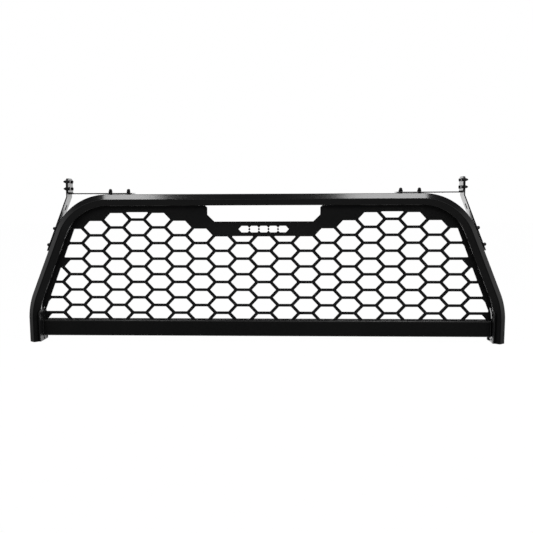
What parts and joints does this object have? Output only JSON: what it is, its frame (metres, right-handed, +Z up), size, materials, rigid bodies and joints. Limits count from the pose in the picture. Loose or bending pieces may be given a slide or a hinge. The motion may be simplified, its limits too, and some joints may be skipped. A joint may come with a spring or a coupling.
{
  "type": "headache rack",
  "caption": "Pickup headache rack: bent tube hoop with a hexagon mesh panel and window, bottom rail, bolt-on foot plates and bolted work-light brackets on both shoulders.",
  "frame": {"origin": "middle of the rack, at the level of the tube ends that stand on the bed rails", "axes": "+X across the truck, +Y towards the cab, -Y towards the load bed, +Z up"},
  "size_m": [1.745, 0.068, 0.6015],
  "materials": {
    "powder_coat": "glossy black powder coat",
    "black_zinc": "black zinc-plated M6 fasteners",
    "zinc": "bright zinc plating, hidden inside the tube",
    "plug_plastic": "moulded black plastic"
  },
  "bodies": {
    "root": {"bottom_rail": "powder_coat", "foot_plate_left": "powder_coat", "foot_plate_right": "powder_coat", "foot_plug_left": "plug_plastic", "foot_plug_right": "plug_plastic", "frame_hoop": "powder_coat", "light_arm_left": "powder_coat", "light_arm_right": "powder_coat", "light_strut_left": "powder_coat", "light_strut_right": "powder_coat", "mesh_panel": "powder_coat", "side_dome_nut_left_1": "black_zinc", "side_dome_nut_left_2": "black_zinc", "side_dome_nut_right_1": "black_zinc", "side_dome_nut_right_2": "black_zinc", "side_rivet_nut_left_1": "zinc", "side_rivet_nut_left_2": "zinc", "side_rivet_nut_right_1": "zinc", "side_rivet_nut_right_2": "zinc", "side_stud_left_1": "zinc", "side_stud_left_2": "zinc", "side_stud_right_1": "zinc", "side_stud_right_2": "zinc", "tab_bolt_left_1": "black_zinc", "tab_bolt_left_2": "black_zinc", "tab_bolt_left_3": "black_zinc", "tab_bolt_left_4": "black_zinc", "tab_bolt_right_1": "black_zinc", "tab_bolt_right_2": "black_zinc", "tab_bolt_right_3": "black_zinc", "tab_bolt_right_4": "black_zinc", "tab_nut_left_1": "black_zinc", "tab_nut_left_2": "black_zinc", "tab_nut_left_3": "black_zinc", "tab_nut_left_4": "black_zinc", "tab_nut_right_1": "black_zinc", "tab_nut_right_2": "black_zinc", "tab_nut_right_3": "black_zinc", "tab_nut_right_4": "black_zinc", "top_dome_nut_left_1": "black_zinc", "top_dome_nut_left_2": "black_zinc", "top_dome_nut_right_1": "black_zinc", "top_dome_nut_right_2": "black_zinc", "top_rivet_nut_left_1": "zinc", "top_rivet_nut_left_2": "zinc", "top_rivet_nut_right_1": "zinc", "top_rivet_nut_right_2": "zinc", "top_stud_left_1": "zinc", "top_stud_left_2": "zinc", "top_stud_right_1": "zinc", "top_stud_right_2": "zinc"}
  },
  "joints": []
}
